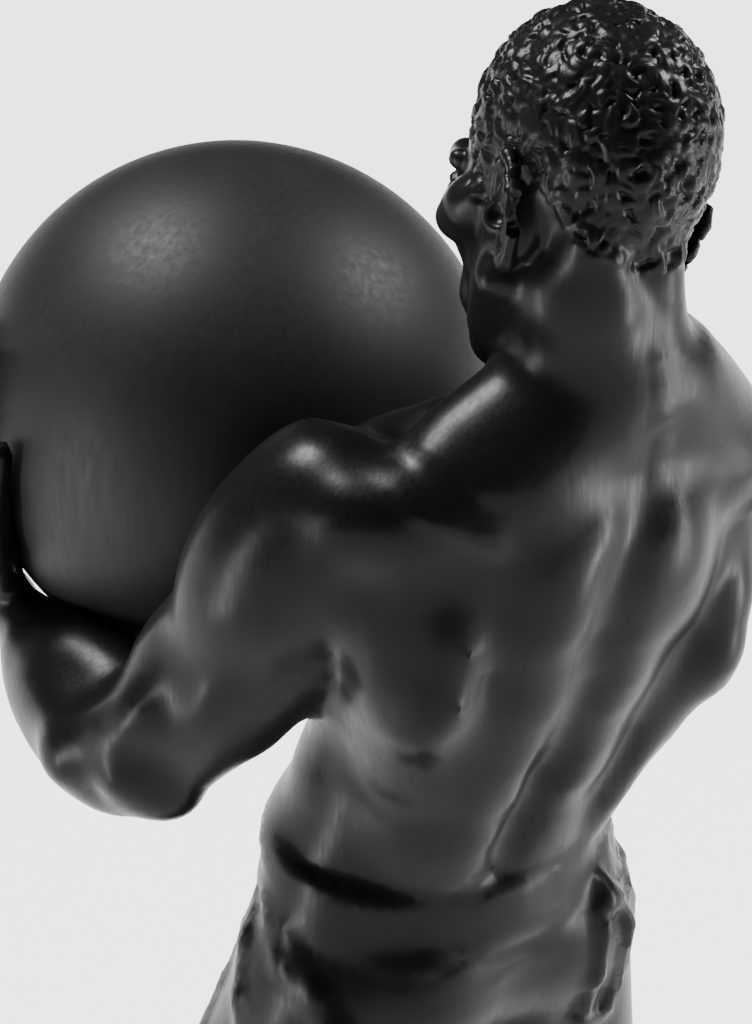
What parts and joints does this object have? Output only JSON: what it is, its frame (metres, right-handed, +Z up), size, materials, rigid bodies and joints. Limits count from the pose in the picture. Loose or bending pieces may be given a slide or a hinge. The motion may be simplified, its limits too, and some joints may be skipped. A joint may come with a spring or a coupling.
{
  "type": "resin atlas statue",
  "caption": "Standing muscular man in loose trousers who strides and holds a great plain ball to his chest, on a low rectangular base.",
  "frame": {"origin": "middle of the base's flat underside", "axes": "+Z up along the standing figure; +X to the figure's own left; the figure and the ball face -Y"},
  "size_m": [0.163, 0.2272, 0.4889],
  "materials": {
    "figure_resin": "satin black cast resin with soft brushed sheen",
    "globe_resin": "smooth black cast resin, a little more matte than the figure",
    "base_resin": "satin black cast resin"
  },
  "bodies": {
    "root": {"figure": "figure_resin", "globe": "globe_resin", "base": "base_resin"}
  },
  "joints": []
}
